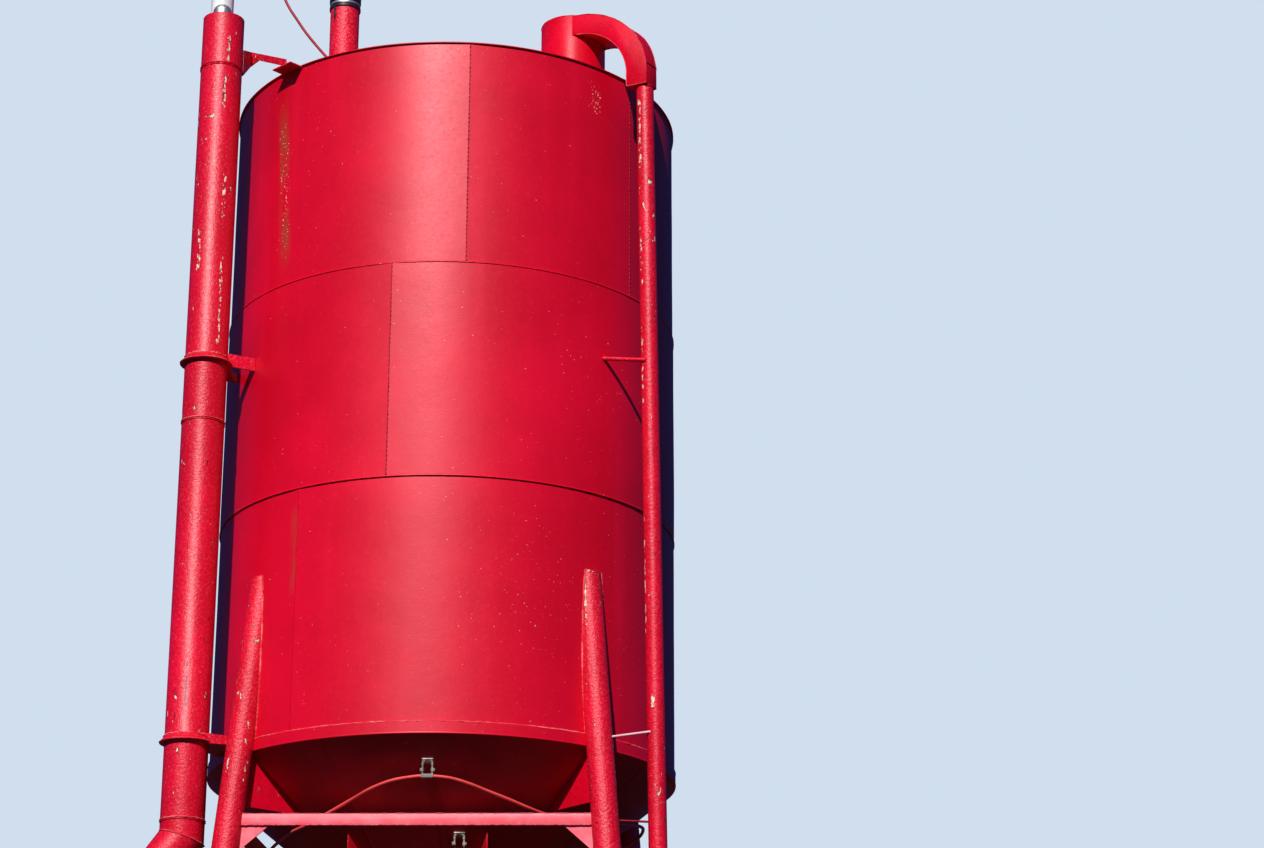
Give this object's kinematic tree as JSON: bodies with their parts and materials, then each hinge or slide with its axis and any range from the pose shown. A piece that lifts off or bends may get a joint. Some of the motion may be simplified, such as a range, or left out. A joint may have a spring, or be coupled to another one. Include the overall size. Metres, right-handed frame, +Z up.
{
  "type": "cement silo",
  "caption": "Round steel plate silo on raked tube legs, with a shallow roof, a cone hopper, a riser duct on one side and a fill pipe with a box elbow on the other.",
  "frame": {"origin": "on the ground, under the middle of the bounding box; the silo axis stands about 30 mm to the -X side of it", "axes": "+Z up; the riser duct is on the -X side, the fill pipe on the +X side, and -Y is the side that the picture shows"},
  "size_m": [3.6646, 3.4876, 11.5],
  "materials": {
    "shell_paint": "glossy crimson paint, faded and chipped",
    "frame_paint": "crimson paint, chipped to grey primer and rust",
    "pipe_paint": "crimson paint, flaking in plates",
    "hose_red": "matte red air hose",
    "zinc": "dull zinc",
    "mast_white": "off-white",
    "cap_black": "dull black"
  },
  "bodies": {
    "root": {"air_line": "hose_red", "air_nozzle_front_high": "zinc", "air_nozzle_front_low": "zinc", "air_nozzle_rear_high": "zinc", "air_nozzle_rear_low": "zinc", "base_ring_left": "shell_paint", "base_ring_right": "shell_paint", "box_elbow": "pipe_paint", "fill_coupling": "zinc", "fill_pipe": "pipe_paint", "fill_stay_1": "pipe_paint", "fill_stay_2": "pipe_paint", "fill_stay_3": "pipe_paint", "fill_stay_4": "pipe_paint", "gauge_line": "pipe_paint", "hopper_plate_1": "shell_paint", "hopper_plate_2": "shell_paint", "hopper_plate_3": "shell_paint", "hopper_plate_4": "shell_paint", "leg_front_left": "frame_paint", "leg_front_right": "frame_paint", "leg_rear_left": "frame_paint", "leg_rear_right": "frame_paint", "outlet_flange": "shell_paint", "riser_bracket_low": "frame_paint", "riser_bracket_middle": "frame_paint", "riser_bracket_top": "frame_paint", "riser_dome": "zinc", "riser_low": "pipe_paint", "riser_mast": "mast_white", "riser_middle": "pipe_paint", "riser_top": "pipe_paint", "roof": "shell_paint", "roof_drum": "pipe_paint", "shell_bottom_plate_1": "shell_paint", "shell_bottom_plate_2": "shell_paint", "shell_bottom_plate_3": "shell_paint", "shell_middle_plate_1": "shell_paint", "shell_middle_plate_2": "shell_paint", "shell_middle_plate_3": "shell_paint", "shell_top_plate_1": "shell_paint", "shell_top_plate_2": "shell_paint", "shell_top_plate_3": "shell_paint", "shell_top_plate_4": "shell_paint", "tie_beam_front": "frame_paint", "tie_beam_left": "frame_paint", "tie_beam_rear": "frame_paint", "tie_beam_right": "frame_paint", "vent_cap": "cap_black", "vent_pipe": "pipe_paint"}
  },
  "joints": []
}
